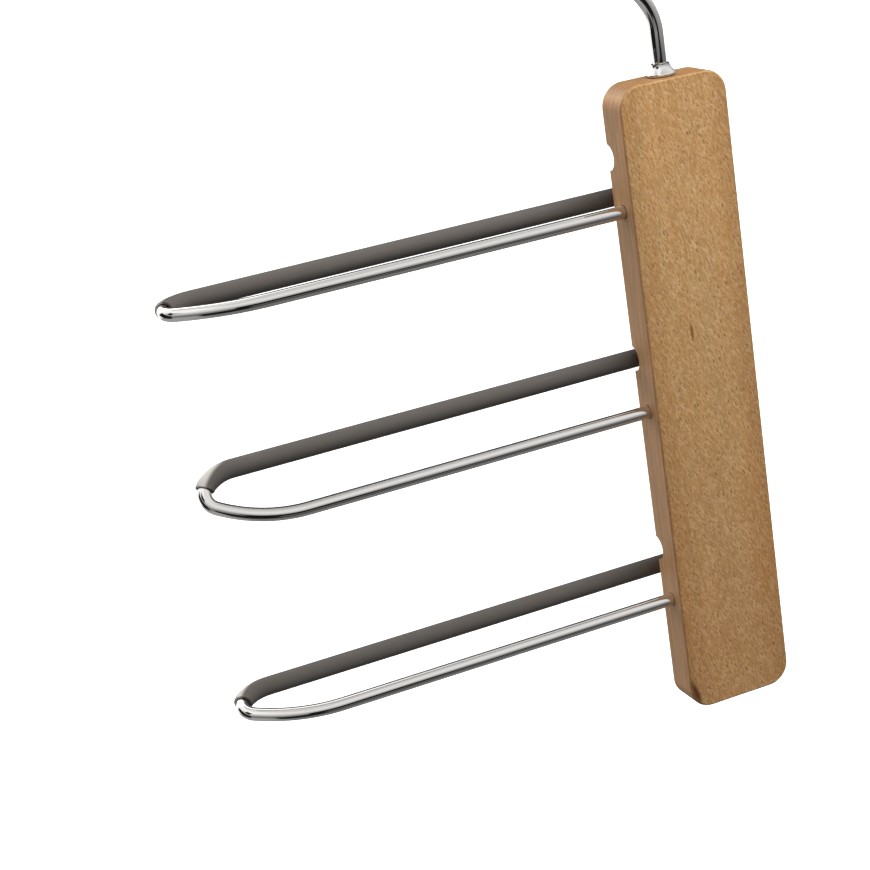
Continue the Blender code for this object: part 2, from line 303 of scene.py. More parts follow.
def bright_metal(name, colour, polish, smear, relief):
    made, tree, shader, at = new_finish(name)
    marks = place_group(tree, HANDLING, {"At": at, "Polish": polish, "Smear": smear})
    tint = mixed(tree, marks["Height"], colour, tuple(share * METAL_SHADE for share in colour))
    tree.links.new(tint, shader.inputs["Base Color"])
    tree.links.new(marks["Roughness"], shader.inputs["Roughness"])
    shader.inputs["Metallic"].default_value = 1.0
    bump(tree, shader, marks["Height"], relief)
    return made


def plastic(name, colour, haze, gloss, relief):
    made, tree, shader, at = new_finish(name)
    inputs = {"At": at, "Colour": (*colour, 1.0), "Haze": (*haze, 1.0), "Gloss": gloss}
    skin = place_group(tree, SKIN, inputs)
    tree.links.new(skin["Colour"], shader.inputs["Base Color"])
    tree.links.new(skin["Roughness"], shader.inputs["Roughness"])
    bump(tree, shader, skin["Height"], relief)
    return made


SLEEVE_COLOUR = (0.089, 0.080, 0.073)
SLEEVE_DUST = (0.118, 0.107, 0.098)
SLEEVE_GLOSS = 0.36
SLEEVE_SPECULAR = 0.08
SLEEVE_RELIEF = 0.012
# Pale colour painted round the outside of each sleeve's bend: a painted sheen standing in for the grazing
# reflection of the bright light behind
SLEEVE_PAINTED_SHEEN = (0.44, 0.41, 0.385)
SHEEN_SLOPE = 0.35

# Millimetres outside the shoulder bend's middle line where the painted sheen starts and is full,
# and the length along the loop over which that fades in
SHEEN_FROM = 5.0
SHEEN_FULL = 8.5
SHEEN_FADE = 5.0


def sleeve_plastic_with_sheen():
    """The sleeve's plastic, with a painted sheen: pale colour round the outside of its bend, standing in for
    the reflection of the bright light behind.
    """
    made, tree, shader, at = new_finish("sleeve_grey")
    inputs = {
        "At": at,
        "Colour": (*SLEEVE_COLOUR, 1.0),
        "Haze": (*SLEEVE_DUST, 1.0),
        "Gloss": SLEEVE_GLOSS,
    }
    skin = place_group(tree, SKIN, inputs)
    bend_centre = (1000 * SHOULDER_END, 1000 * (LEG_SPACING - SHOULDER_RADIUS), 0.0)
    from_centre = vector_of(tree, "SUBTRACT", at, bend_centre)
    past = split(tree, from_centre)["X"]
    reach = length_of(tree, vector_of(tree, "MULTIPLY", from_centre, (1, 1, 0)))
    sheen_reach = math_of(tree, "MULTIPLY_ADD", past, SHEEN_SLOPE, reach)
    bend_line = 1000 * SHOULDER_RADIUS
    painted_sheen = remap(tree, sheen_reach, bend_line + SHEEN_FROM, bend_line + SHEEN_FULL)
    painted_sheen = math_of(tree, "MULTIPLY", painted_sheen, remap(tree, past, 0.0, SHEEN_FADE))
    # Painted sheen: the sleeve's colour turns pale round the outside of its bend
    tree.links.new(mixed(tree, painted_sheen, skin["Colour"], SLEEVE_PAINTED_SHEEN), shader.inputs["Base Color"])
    tree.links.new(skin["Roughness"], shader.inputs["Roughness"])
    shader.inputs["Specular IOR Level"].default_value = SLEEVE_SPECULAR
    bump(tree, shader, skin["Height"], SLEEVE_RELIEF)
    return made


# Beech, in millimetres and in waves in a millimetre

PITH = (1000 * (BOARD_MIDDLE + 0.014), 78.0)
RING_WIDTH = 4.2
RING_WANDER = 14.0
WANDER_WAVES = (0.03, 0.03, 0.005)
BROAD_WAVES = (0.09, 0.05, 0.012)
FIBRE_WAVES = (1.6, 0.5, 0.06)
SIDE_WAVES = (0.14, 0.22, 0.022)
SIDE_PATCH_WAVES = (0.16, 0.16, 0.055)
EDGE_BREAK_WAVES = (0.4, 0.4, 0.07)
GRAIN_LEAN = math.radians(21)
DOT_LEAN = math.radians(33)
DASH_SIZE = (1.4, 10.0, 3.4)
DASH_FLANK = 0.9
RAY_WIDTH = 0.7
RAY_LENGTH = 10.0
# Painted shade on the broad faces, in millimetres: how far off the middle the darkening towards the sides
# runs, and the heights over which it darkens towards the foot
EDGE_SHADE = (14.0, 36.0)
FOOT_SHADE = (-260.0, -540.0)
WOOD_SPECULAR = 0.15
WOOD_RELIEF = 0.012

# Size, lean, share of the cells that hold a fleck, depth of its dark middle
FLECKS = (
    ((1.7, 14.0, 5.2), GRAIN_LEAN, 0.65, 0.72),
    ((1.2, 14.0, 3.4), DOT_LEAN, 0.50, 0.50),
)

# Place, half size, lean
MINERAL_STREAK = ((114.3, -12.0, -307.0), (1.2, 5.0, 9.0), math.radians(4))
CORNER_MARK = ((88.2, -12.0, -538.0), (3.0, 3.2, 13.0), math.radians(16))

FLAT_WOOD = ((0.505, 0.281, 0.112), (0.465, 0.287, 0.125))
FLAT_LATE_WOOD = (0.40, 0.205, 0.076)
FLAT_MOTTLE = (0.34, 0.182, 0.073)
DASH_TINTS = ((0.74, 0.72, 0.69), (1.12, 1.14, 1.16))
FLECK_RIM = (0.63, 0.425, 0.23)
FLECK_MIDDLE = (0.225, 0.105, 0.034)
NO_TINT = (1.0, 1.0, 1.0)
# Painted shade towards the sides of the broad faces
EDGE_PAINTED_SHADE = (0.85, 0.80, 0.755)
# Painted shade towards the foot of the broad faces
FOOT_PAINTED_SHADE = (0.98, 0.93, 0.91)
MINERAL_STAIN = (0.13, 0.05, 0.015)
SIDE_WOOD = ((0.56, 0.305, 0.137), (0.41, 0.218, 0.094))
SIDE_PATCH = (0.465, 0.272, 0.134)
SIDE_LATE_WOOD = (0.36, 0.19, 0.10)
END_WOOD = ((0.29, 0.154, 0.063), (0.20, 0.098, 0.037))
END_LATE_WOOD = (0.15, 0.069, 0.025)
END_RAY = (0.38, 0.22, 0.10)
# Painted shade along the rounded edges where the faces meet
EDGE_LINE_PAINTED_SHADE = (0.27, 0.125, 0.05)
CORNER_STAIN = (0.09, 0.035, 0.012)


def around_pith(tree, at):
    """Distance from the pith behind the board, and the way round it at the board."""
    spot = split(tree, at)
    across = math_of(tree, "SUBTRACT", spot["X"], PITH[0])
    through = math_of(tree, "SUBTRACT", PITH[1], spot["Y"])
    flat_spot = put(tree, "ShaderNodeCombineXYZ", {"X": across, "Y": through}).outputs[0]
    round_way = math_of(tree, "MULTIPLY", math_of(tree, "ARCTAN2", across, through), PITH[1])
    return length_of(tree, flat_spot), round_way


def growth_rings(tree, at):
    """Darker late wood, in rings round the pith."""
    radius, _ = around_pith(tree, at)
    wander = grain(tree, at, WANDER_WAVES)
    ring_place = math_of(tree, "MULTIPLY_ADD", wander, RING_WANDER, radius)
    ring = math_of(tree, "FRACT", math_of(tree, "DIVIDE", ring_place, RING_WIDTH))
    return math_of(tree, "MULTIPLY", remap(tree, ring, 0.25, 0.9), remap(tree, ring, 1.0, 0.9))


def ray_dashes(tree, at):
    """Dense short dashes, each with a light and a dark flank, where the wood's rays are cut through."""
    def layer(shift):
        return grain(tree, at, waves_of(DASH_SIZE), roughness=0.65, lean=GRAIN_LEAN, shift=shift)
    flanks = math_of(tree, "SUBTRACT", layer(0.0), layer(DASH_FLANK))
    return math_of(tree, "MULTIPLY", flanks, remap(tree, noise(tree, at, 0.35), 0.3, 0.7, 0.4, 1.4))


def ray_flecks(tree, at, size, lean, share):
    """Scattered short dark marks, each with a paler rim, in this share of the cells that they lie in."""
    wander = put(tree, "ShaderNodeTexNoise", {"Vector": at, "Scale": 0.7, "Detail": 1.0}).outputs["Color"]
    moved = vector_of(tree, "MULTIPLY_ADD", wander, (1.4, 0.0, 1.4), at)
    spread = stretched(tree, moved, waves_of(size), lean)
    cells = put(tree, "ShaderNodeTexVoronoi", {"Vector": spread, "Scale": 1.0, "Randomness": 1.0}).outputs
    chance = put(tree, "ShaderNodeSeparateColor", {"Color": cells["Color"]}).outputs["Red"]
    strength = remap(tree, chance, 1.0 - share, 1.0)
    middle = math_of(tree, "MULTIPLY", remap(tree, cells["Distance"], 0.5, 0.15), strength)
    whole = math_of(tree, "MULTIPLY", remap(tree, cells["Distance"], 0.95, 0.6), strength)
    return middle, math_of(tree, "SUBTRACT", whole, middle)


def dark_streak(tree, at, place, size, lean):
    """One dark streak at a place on the board."""
    moved = vector_of(tree, "SUBTRACT", at, place)
    return remap(tree, length_of(tree, stretched(tree, moved, waves_of(size), lean)), 1.0, 0.25)


def flat_face(tree, at, late, dashes):
    """The broad faces: mottled, with dashes and flecks, and painted shade that darkens them towards the
    sides and the foot.
    """
    broad = grain(tree, at, BROAD_WAVES, roughness=0.55)
    mottle = noise(tree, at, 0.30, 3.0, 0.65)
    face = mixed(tree, remap(tree, broad, 0.3, 0.7), *FLAT_WOOD)
    face = stained(tree, face, late, 0.3, FLAT_LATE_WOOD)
    face = tinted(tree, face, remap(tree, dashes, -0.20, 0.20), *DASH_TINTS)
    face = mixed(tree, remap(tree, mottle, 0.3, 0.7, 0.0, 0.5), face, FLAT_MOTTLE)
    for size, lean, share, depth in FLECKS:
        middle, rim = ray_flecks(tree, at, size, lean, share)
        face = stained(tree, face, rim, 0.40, FLECK_RIM)
        face = stained(tree, face, middle, depth, FLECK_MIDDLE)
    place = split(tree, at)
    aside = math_of(tree, "ABSOLUTE", math_of(tree, "SUBTRACT", place["X"], 1000 * BOARD_MIDDLE))
    # Painted shade: the broad faces darker towards the sides
    face = tinted(tree, face, remap(tree, aside, *EDGE_SHADE), NO_TINT, EDGE_PAINTED_SHADE)
    # Painted shade: the broad faces darker and warmer towards the foot, where the light falls off
    face = tinted(tree, face, remap(tree, place["Z"], *FOOT_SHADE), NO_TINT, FOOT_PAINTED_SHADE)
    return stained(tree, face, dark_streak(tree, at, *MINERAL_STREAK), 0.8, MINERAL_STAIN)


def narrow_face(tree, at, late):
    """The sides: long streaks and soft patches."""
    drawn = grain(tree, at, SIDE_WAVES, roughness=0.55, distortion=1.5)
    patchy = grain(tree, at, SIDE_PATCH_WAVES, roughness=0.6)
    face = mixed(tree, remap(tree, drawn, 0.3, 0.75), *SIDE_WOOD)
    face = mixed(tree, remap(tree, patchy, 0.35, 0.65, 0.0, 0.55), face, SIDE_PATCH)
    return stained(tree, face, late, 0.3, SIDE_LATE_WOOD)


def cut_end(tree, at, late):
    """Wood cut across: fine pores, dark rings, and pale rays that run out from the pith."""
    radius, round_way = around_pith(tree, at)
    ray_inputs = {
        "X": math_of(tree, "DIVIDE", round_way, RAY_WIDTH),
        "Y": math_of(tree, "DIVIDE", radius, RAY_LENGTH),
    }
    rays = noise(tree, put(tree, "ShaderNodeCombineXYZ", ray_inputs).outputs[0], 1.0)
    pores = noise(tree, at, 1.6, 3.0, 0.7)
    face = mixed(tree, remap(tree, pores, 0.4, 0.7), *END_WOOD)
    face = stained(tree, face, late, 0.55, END_LATE_WOOD)
    return mixed(tree, remap(tree, rays, 0.52, 0.72, 0.0, 0.5), face, END_RAY)


def beech():
    """Steamed beech: dashes on the flat faces, long streaks on the narrow ones, dark end grain, and painted
    shade along the rounded edges.
    """
    made, tree, shader, at = new_finish("steamed_beech")
    facing = split(tree, put(tree, "ShaderNodeTexCoord").outputs["Normal"])
    side = remap(tree, math_of(tree, "ABSOLUTE", facing["X"]), 0.6, 0.95)
    end_grain = remap(tree, math_of(tree, "ABSOLUTE", facing["Z"]), 0.5, 0.9)
    slanted = math_of(tree, "ABSOLUTE", math_of(tree, "MULTIPLY", facing["X"], facing["Y"]))
    edge = remap(tree, slanted, 0.1, 0.45)
    broken = remap(tree, grain(tree, at, EDGE_BREAK_WAVES, roughness=0.6), 0.35, 0.65, 0.12, 0.62)

    late = growth_rings(tree, at)
    fibre = grain(tree, at, FIBRE_WAVES, 4.0, 0.65, lean=GRAIN_LEAN)
    dashes = ray_dashes(tree, at)
    colour = mixed(tree, side, flat_face(tree, at, late, dashes), narrow_face(tree, at, late))
    colour = mixed(tree, end_grain, colour, cut_end(tree, at, late))
    # Painted shade: a broken dark line along the rounded edges where the faces meet
    colour = stained(tree, colour, edge, broken, EDGE_LINE_PAINTED_SHADE)
    colour = stained(tree, colour, dark_streak(tree, at, *CORNER_MARK), 0.95, CORNER_STAIN)

    tree.links.new(colour, shader.inputs["Base Color"])
    tree.links.new(remap(tree, fibre, 0.3, 0.75, 0.42, 0.56), shader.inputs["Roughness"])
    shader.inputs["Specular IOR Level"].default_value = WOOD_SPECULAR
    bump(tree, shader, math_of(tree, "ADD", fibre, dashes), WOOD_RELIEF)
    return made


FINISHES = {
    "beech": beech(),
    "chrome": bright_metal("bright_chrome", (0.82, 0.80, 0.78), 0.035, 0.05, 0.0008),
    "pin": bright_metal("drawn_steel", (0.52, 0.51, 0.50), 0.22, 0.15, 0.004),
    "insert": bright_metal("turned_brass", (0.62, 0.42, 0.16), 0.20, 0.18, 0.006),
    "grip": sleeve_plastic_with_sheen(),
    "cap": plastic("cap_grey", (0.042, 0.040, 0.038), (0.060, 0.057, 0.054), 0.42, 0.010),
    "band": plastic("band_rubber", (0.022, 0.021, 0.020), (0.045, 0.043, 0.041), 0.62, 0.015),
}


# Round stock, drawn in a plane as stations (along, across, heading, radius)

SMOOTH_BELOW = math.radians(50)
LOOP_PLANE = Euler((0, math.pi, 0)).to_matrix().to_4x4()
HOOK_PLANE = Euler((math.pi / 2, -math.pi / 2, 0)).to_matrix().to_4x4()
ALONG_Y = Euler((0, 0, math.pi / 2)).to_matrix().to_4x4()
ALONG_Z = Euler((0, -math.pi / 2, 0)).to_matrix().to_4x4()


def bent(start, moves, radius):
    """Stations along straight runs (length) and bends (radius, turn)."""
    along, across, heading = start
    stations = [(along, across, heading, radius)]
    for kind, *size in moves:
        if kind == "run":
            along += size[0] * math.cos(heading)
            across += size[0] * math.sin(heading)
            stations.append((along, across, heading, radius))
            continue
        side = math.copysign(size[0], size[1])
        centre = (along - side * math.sin(heading), across + side * math.cos(heading))
        steps = math.ceil(abs(size[1]) / BEND_STEP)
        first = heading
        for step in range(1, steps + 1):
            heading = first + size[1] * step / steps
            along = centre[0] + side * math.sin(heading)
            across = centre[1] - side * math.cos(heading)
            stations.append((along, across, heading, radius))
    return stations


def further(station, step, radius):
    """A station this step ahead of another one, in its heading."""
    along, across, heading, _ = station
    return along + step * math.cos(heading), across + step * math.sin(heading), heading, radius


def on_axis(profile, across=0.0):
    return [(along, across, 0.0, radius) for along, radius in profile]


def rounding(centre, radius, first, last, steps):
    """Points of a small arc (along, radius) from one angle to another, in degrees."""
    arc = []
    for step in range(steps + 1):
        angle = math.radians(first + (last - first) * step / steps)
        arc.append((centre[0] + radius * math.cos(angle), centre[1] + radius * math.sin(angle)))
    return arc


def closed_mesh(shape, name):
    bmesh.ops.recalc_face_normals(shape, faces=shape.faces)
    mesh = bpy.data.meshes.new(name)
    shape.to_mesh(mesh)
    shape.free()
    return mesh


def in_scene(name, data):
    made = bpy.data.objects.new(name, data)
    bpy.context.scene.collection.objects.link(made)
    return made


def round_piece(name, stations, hollow=False, sides=ROD_SIDES):
    """Skin the stations; a hollow piece runs down its outside and back along its bore."""
    shape = bmesh.new()
    rings = []
    for along, across, heading, radius in stations:
        points = []
        for side in range(sides):
            angle = 2 * math.pi * side / sides
            out = radius * math.cos(angle)
            height = radius * math.sin(angle)
            spot = (along - out * math.sin(heading), across + out * math.cos(heading), height)
            points.append(shape.verts.new(spot))
        rings.append(points)
    pairs = list(zip(rings, rings[1:]))
    if hollow:
        pairs.append((rings[-1], rings[0]))
    else:
        shape.faces.new(rings[0])
        shape.faces.new(rings[-1])
    for near, far in pairs:
        for side in range(sides):
            following = (side + 1) % sides
            shape.faces.new((near[side], near[following], far[following], far[side]))
    mesh = closed_mesh(shape, name)
    mesh.shade_smooth()
    mesh.set_sharp_from_angle(angle=SMOOTH_BELOW)
    return in_scene(name, mesh)


def dress(piece, node, body, slot, matrix=Matrix.Identity(4)):
    """Put a piece in its place on its body, in the finish of its slot, instead of the plain solid."""
    piece.data.materials.append(FINISHES[slot])
    piece.matrix_world = matrix
    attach(piece, body)
    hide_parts(node)


def refinish(node, slot):
    """Give a solid that keeps its shape the finish of its slot."""
    materials = frame["nodes"][node].data.materials
    materials.clear()
    materials.append(FINISHES[slot])


# Loops

def tight_bend_place(turn):
    reach = TIGHT_BEND_RADIUS * (math.sin(turn) - math.sin(EASY_BEND_TURN))
    rise = TIGHT_BEND_RADIUS * (math.cos(EASY_BEND_TURN) - math.cos(turn))
    return EASY_BEND_REACH + reach, EASY_BEND_RISE + rise, turn


def return_moves(turned, reach):
    """From this turn in the tight bend, by the shoulder bend, to this far past the board's side."""
    return (
        ("bend", TIGHT_BEND_RADIUS, TIGHT_BEND_END - turned),
        ("bend", SHOULDER_RADIUS, SHOULDER_TURN),
        ("run", SHOULDER_END + reach),
    )


def loop_rod(name):
    """The bare leg with its two grooves, the bends, and the leg that carries the sleeve."""
    pin_half = PIN_RADIUS + FIT_GAP
    leg = [
        (-PIVOT_DEPTH, ROD_RADIUS - END_CHAMFER),
        (-PIVOT_DEPTH + END_CHAMFER, ROD_RADIUS),
        (-PIN_OFFSET - pin_half, ROD_RADIUS),
        (-PIN_OFFSET - pin_half, PIN_SEAT_RADIUS),
        (-PIN_OFFSET + pin_half, PIN_SEAT_RADIUS),
        (-PIN_OFFSET + pin_half, ROD_RADIUS),
        (-BAND_FAR - FIT_GAP, ROD_RADIUS),
        (-BAND_FAR - FIT_GAP, BAND_SEAT_RADIUS),
        (-BAND_NEAR + FIT_GAP, BAND_SEAT_RADIUS),
        (-BAND_NEAR + FIT_GAP, ROD_RADIUS),
    ]
    easy_bend = ("bend", EASY_BEND_RADIUS, EASY_BEND_TURN)
    moves = (easy_bend, *return_moves(EASY_BEND_TURN, FREE_REACH - END_CHAMFER))
    free_end = (-FREE_REACH, LEG_SPACING, math.pi, ROD_RADIUS - END_CHAMFER)
    return round_piece(name, on_axis(leg) + bent((LEG_STRAIGHT, 0, 0), moves, ROD_RADIUS) + [free_end])


def sleeve_lip(station, outward):
    """The rounded rim of the sleeve beyond its end station, forward (1) or backward (-1)."""
    rim = []
    for degrees in (20, 45, 70, 90):
        lift = math.radians(degrees)
        radius = SLEEVE_RADIUS - LIP * (1 - math.cos(lift))
        rim.append(further(station, outward * LIP * math.sin(lift), radius))
    return rim


def grip_sleeve(name):
    """A cut tube whose ends are a little rounded."""
    start = tight_bend_place(SLEEVE_START_TURN)
    moves = return_moves(SLEEVE_START_TURN, SLEEVE_REACH - LIP)
    outside = bent(start, moves, SLEEVE_RADIUS)
    bore = bent(start, moves, BORE_RADIUS)
    first = sleeve_lip(outside[0], -1)[::-1]
    last = sleeve_lip(outside[-1], 1)
    inner_last = last[-1][:3] + (BORE_RADIUS,)
    inner_first = first[0][:3] + (BORE_RADIUS,)
    return round_piece(name, first + outside + last + [inner_last] + bore[::-1] + [inner_first], hollow=True)


def sleeve_cap(name):
    mouth = -CAP_END + CAP_LENGTH
    profile = [
        (-FREE_REACH - FIT_GAP, BORE_RADIUS),
        (mouth, BORE_RADIUS),
        (mouth, SLEEVE_RADIUS - LIP / 2),
        (mouth - LIP / 2, SLEEVE_RADIUS),
    ]
    profile += rounding((-CAP_END + CAP_ROUND, SLEEVE_RADIUS - CAP_ROUND), CAP_ROUND, 90, 180, 8)
    return round_piece(name, on_axis(profile, LEG_SPACING))


def retaining_pin(name):
    """A pin set in by the fit gap, with its ends eased by as much."""
    profile = [
        (-PIN_LENGTH - FIT_GAP, PIN_RADIUS - FIT_GAP),
        (-PIN_LENGTH, PIN_RADIUS),
        (-2 * FIT_GAP, PIN_RADIUS),
    ]
    profile += rounding((-2 * FIT_GAP, PIN_RADIUS - FIT_GAP), FIT_GAP, 60, 0, 3)
    return round_piece(name, on_axis(profile), sides=PIN_SIDES)


def dress_tier(level):
    body = f"{level}_loop"
    pivot = Matrix.Translation(PIVOTS[level])
    swung = pivot @ Matrix.Rotation(LOOP_ANGLES[level], 4, "X") @ LOOP_PLANE
    dress(loop_rod(f"chrome_loop_{level}"), f"loop_rod_{level}", body, "chrome", swung)
    dress(grip_sleeve(f"anti_slip_sleeve_{level}"), f"grip_sleeve_{level}", body, "grip", swung)
    dress(sleeve_cap(f"sleeve_end_cap_{level}"), f"sleeve_cap_{level}", body, "cap", swung)
    seat = Vector((PIN_OFFSET, BOARD_BACK, PIN_HEIGHT))
    pin_place = pivot @ Matrix.Translation(seat) @ ALONG_Y
    dress(retaining_pin(f"steel_pin_{level}"), f"retaining_pin_{level}", "board", "pin", pin_place)
    refinish(f"friction_band_{level}", "band")


# Board

CUT_MARGIN = 0.005
EASED_ABOVE = math.radians(40)
BOARD_SMOOTH_BELOW = math.radians(45)


def settle(board):
    """Make what the board's modifiers give its own mesh."""
    bpy.context.view_layer.update()
    graph = bpy.context.evaluated_depsgraph_get()
    mesh = bpy.data.meshes.new_from_object(board.evaluated_get(graph))
    board.modifiers.clear()
    board.data = mesh


def cut(board, cutter, matrix):
    cutter.matrix_world = matrix
    modifier = board.modifiers.new(cutter.name, "BOOLEAN")
    modifier.operation = "DIFFERENCE"
    modifier.solver = "EXACT"
    modifier.object = cutter
    settle(board)
    bpy.data.objects.remove(cutter)


def runs_through(edge):
    """Whether an edge runs from the board's front to its back."""
    return edge.verts[0].co.y * edge.verts[1].co.y < 0


def round_off(shape, edges, radius, steps):
    bmesh.ops.bevel(shape, geom=edges, offset=radius, segments=steps, profile=0.5, affect="EDGES")


def board_blank():
    """The board before its holes, with round corners and softened rims."""
    shape = bmesh.new()
    bmesh.ops.create_cube(shape, size=1.0)
    bmesh.ops.scale(shape, vec=board_high - board_low, verts=shape.verts)
    bmesh.ops.translate(shape, vec=(board_high + board_low) / 2, verts=shape.verts)
    corners = [edge for edge in shape.edges if runs_through(edge)]
    round_off(shape, corners, BOARD_CORNER_RADIUS, CORNER_STEPS)
    rims = [edge for edge in shape.edges if not runs_through(edge)]
    round_off(shape, rims, BOARD_EDGE_ROUND, RIM_STEPS)
    return in_scene("beech_board", closed_mesh(shape, "beech_board"))


def beech_board():
    """The blank with notches, pin holes and hook bore, all with eased edges, and then the pivot bores."""
    board = board_blank()
    notch_reach = CAP_END + FIT_GAP
    channel = [(-CUT_MARGIN, NOTCH_RADIUS), (notch_reach, NOTCH_RADIUS)]
    channel += rounding((notch_reach, 0.0), NOTCH_RADIUS, 84, 8, 10)
    hole_radius = PIN_RADIUS + FIT_GAP
    hole = [(-PIN_LENGTH - 2 * FIT_GAP, hole_radius), (CUT_MARGIN, hole_radius)]
    for pivot in PIVOTS.values():
        notch = round_piece("parking_notch", on_axis(channel), sides=WIDE_SIDES)
        cut(board, notch, Matrix.Translation((pivot.x, BOARD_BACK, pivot.z + NOTCH_HEIGHT)))
        pin_hole = round_piece("pin_hole", on_axis(hole), sides=PIN_SIDES)
        hole_place = Matrix.Translation((pivot.x + PIN_OFFSET, BOARD_BACK, pivot.z + PIN_HEIGHT))
        cut(board, pin_hole, hole_place @ ALONG_Y)
    seat_radius = INSERT_RADIUS + FIT_GAP
    seat = [(-INSERT_LENGTH - 2 * FIT_GAP, seat_radius), (CUT_MARGIN, seat_radius)]
    seat_place = Matrix.Translation((BOARD_MIDDLE, 0, BOARD_TOP)) @ ALONG_Z
    cut(board, round_piece("insert_bore", on_axis(seat)), seat_place)
    eased = board.modifiers.new("eased_edges", "BEVEL")
    eased.width = EASED_EDGE
    eased.segments = EASED_STEPS
    eased.limit_method = "ANGLE"
    eased.angle_limit = EASED_ABOVE
    eased.use_clamp_overlap = True
    settle(board)
    bore = [(-CUT_MARGIN, BORE_RADIUS), (PIVOT_DEPTH + FIT_GAP, BORE_RADIUS)]
    for pivot in PIVOTS.values():
        cut(board, round_piece("pivot_bore", on_axis(bore)), Matrix.Translation(pivot))
    board.data.shade_smooth()
    board.data.set_sharp_from_angle(angle=BOARD_SMOOTH_BELOW)
    board.modifiers.new("flat_faces", "WEIGHTED_NORMAL").keep_sharp = True
    return board


# Hook

def hook_rod():
    moves = (
        ("run", HOOK_SEAT_DEPTH + NECK_STRAIGHT - END_CHAMFER),
        ("bend", NECK_RADIUS, NECK_TURN),
        ("run", NECK_DIAGONAL),
        ("bend", NECK_RADIUS, -NECK_TURN),
        ("run", SHANK_LENGTH),
        ("bend", HOOK_ROD_RADIUS, HOOK_TURN),
    )
    foot = (-HOOK_SEAT_DEPTH, 0, 0, ROD_RADIUS - END_CHAMFER)
    line = bent((-HOOK_SEAT_DEPTH + END_CHAMFER, 0, 0), moves, ROD_RADIUS)
    ball = rounding((0.0, 0.0), ROD_RADIUS, 80, 8, 8)
    tip = [further(line[-1], reach, radius) for reach, radius in ball]
    return round_piece("chrome_hook", [foot] + line + tip)


def ferrule():
    """A collar with a flat foot that flares in to the hook's rod."""
    flare = FERRULE_RADIUS - FERRULE_NECK_RADIUS
    rise = FERRULE_HEIGHT - FERRULE_FOOT
    outside = [(FIT_GAP, FERRULE_RADIUS - LIP), (FIT_GAP + LIP, FERRULE_RADIUS)]
    for step in range(FLARE_STEPS + 1):
        height = FIT_GAP + FERRULE_FOOT + rise * step / FLARE_STEPS
        turn = math.pi / 2 * step / FLARE_STEPS
        outside.append((height, FERRULE_NECK_RADIUS + flare * (1 - math.sin(turn))))
    bore = [(FIT_GAP + FERRULE_HEIGHT, BORE_RADIUS), (FIT_GAP, BORE_RADIUS)]
    return round_piece("chrome_ferrule", on_axis(outside + bore), hollow=True, sides=WIDE_SIDES)


def dress_hook():
    seat = Matrix.Translation((BOARD_MIDDLE, 0, BOARD_TOP))
    dress(hook_rod(), "hook", "board", "chrome", seat @ HOOK_PLANE)
    dress(ferrule(), "hook_ferrule", "board", "chrome", seat @ ALONG_Z)
    refinish("hook_insert", "insert")


# Camera and floor

CAMERA_AZIMUTH = math.radians(-19.8)
CAMERA_ELEVATION = math.radians(18.2)
CAMERA_ROLL = math.radians(-9.09)
CAMERA_CLIP_END = 200.0
FOCAL_PIXELS = 2035.06
IMAGE_SIDE = 870
SENSOR_MM = 36.0
PIVOT_PIXEL = (648.28, 411.70)
PIVOT_DISTANCE = 1.22982
FLOOR_DROP = 1.65
FLOOR_HALF = 60.0
FLOOR_TONES = ((0.92, 0.92, 0.92), (0.94, 0.94, 0.94))
FLOOR_ROUGHNESS = 0.7
FLOOR_GLOW = 0.7


def direction(azimuth, elevation):
    """A unit vector; azimuth 0 points to the front, and positive azimuth to the right."""
    level = math.cos(elevation)
    return Vector((math.sin(azimuth) * level, -math.cos(azimuth) * level, math.sin(elevation)))


def add_camera():
    """A camera that sees the middle loop's pivot at its own pixel and distance."""
    back = direction(CAMERA_AZIMUTH, CAMERA_ELEVATION)
    level_right = Vector((math.cos(CAMERA_AZIMUTH), math.sin(CAMERA_AZIMUTH), 0))
    level_up = back.cross(level_right)
    right = math.cos(CAMERA_ROLL) * level_right + math.sin(CAMERA_ROLL) * level_up
    up = math.cos(CAMERA_ROLL) * level_up - math.sin(CAMERA_ROLL) * level_right
    per_pixel = PIVOT_DISTANCE / FOCAL_PIXELS
    aside = (PIVOT_PIXEL[0] - IMAGE_SIDE / 2) * per_pixel
    above = (IMAGE_SIDE / 2 - PIVOT_PIXEL[1]) * per_pixel
    spot = PIVOTS["middle"] - aside * right - above * up + PIVOT_DISTANCE * back
    data = bpy.data.cameras.new("camera")
    data.sensor_width = SENSOR_MM
    data.lens = FOCAL_PIXELS * SENSOR_MM / IMAGE_SIDE
    data.clip_end = CAMERA_CLIP_END
    camera = in_scene("camera", data)
    camera.matrix_world = Matrix.Translation(spot) @ Matrix((right, up, back)).transposed().to_4x4()
    bpy.context.scene.camera = camera


def add_floor():
    """A pale floor under the hanging part, which neither lights it nor shows in the chrome."""
    mesh = bpy.data.meshes.new("pale_floor")
    ways = ((-1, -1), (1, -1), (1, 1), (-1, 1))
    corners = [(along * FLOOR_HALF, across * FLOOR_HALF, -FLOOR_DROP) for along, across in ways]
    mesh.from_pydata(corners, [], [(0, 1, 2, 3)])
    floor = in_scene("pale_floor", mesh)
    made, tree, shader, at = new_finish("pale_floor")
    tree.links.new(mixed(tree, noise(tree, at, 0.0004), *FLOOR_TONES), shader.inputs["Base Color"])
    shader.inputs["Roughness"].default_value = FLOOR_ROUGHNESS
    shader.inputs["Emission Color"].default_value = (1.0, 1.0, 1.0, 1.0)
    shader.inputs["Emission Strength"].default_value = FLOOR_GLOW
    mesh.materials.append(made)
    floor.visible_glossy = False
    floor.visible_diffuse = False


# Light

# The room's light by elevation in degrees, from straight down to straight up
ROOM_LIGHT = (
    (-90, 0.20),
    (-60, 0.20),
    (-35, 0.15),
    (-16, 0.20),
    (2, 0.43),
    (19, 0.78),
    (38, 0.95),
    (58, 0.82),
    (75, 0.66),
    (90, 1.00),
)

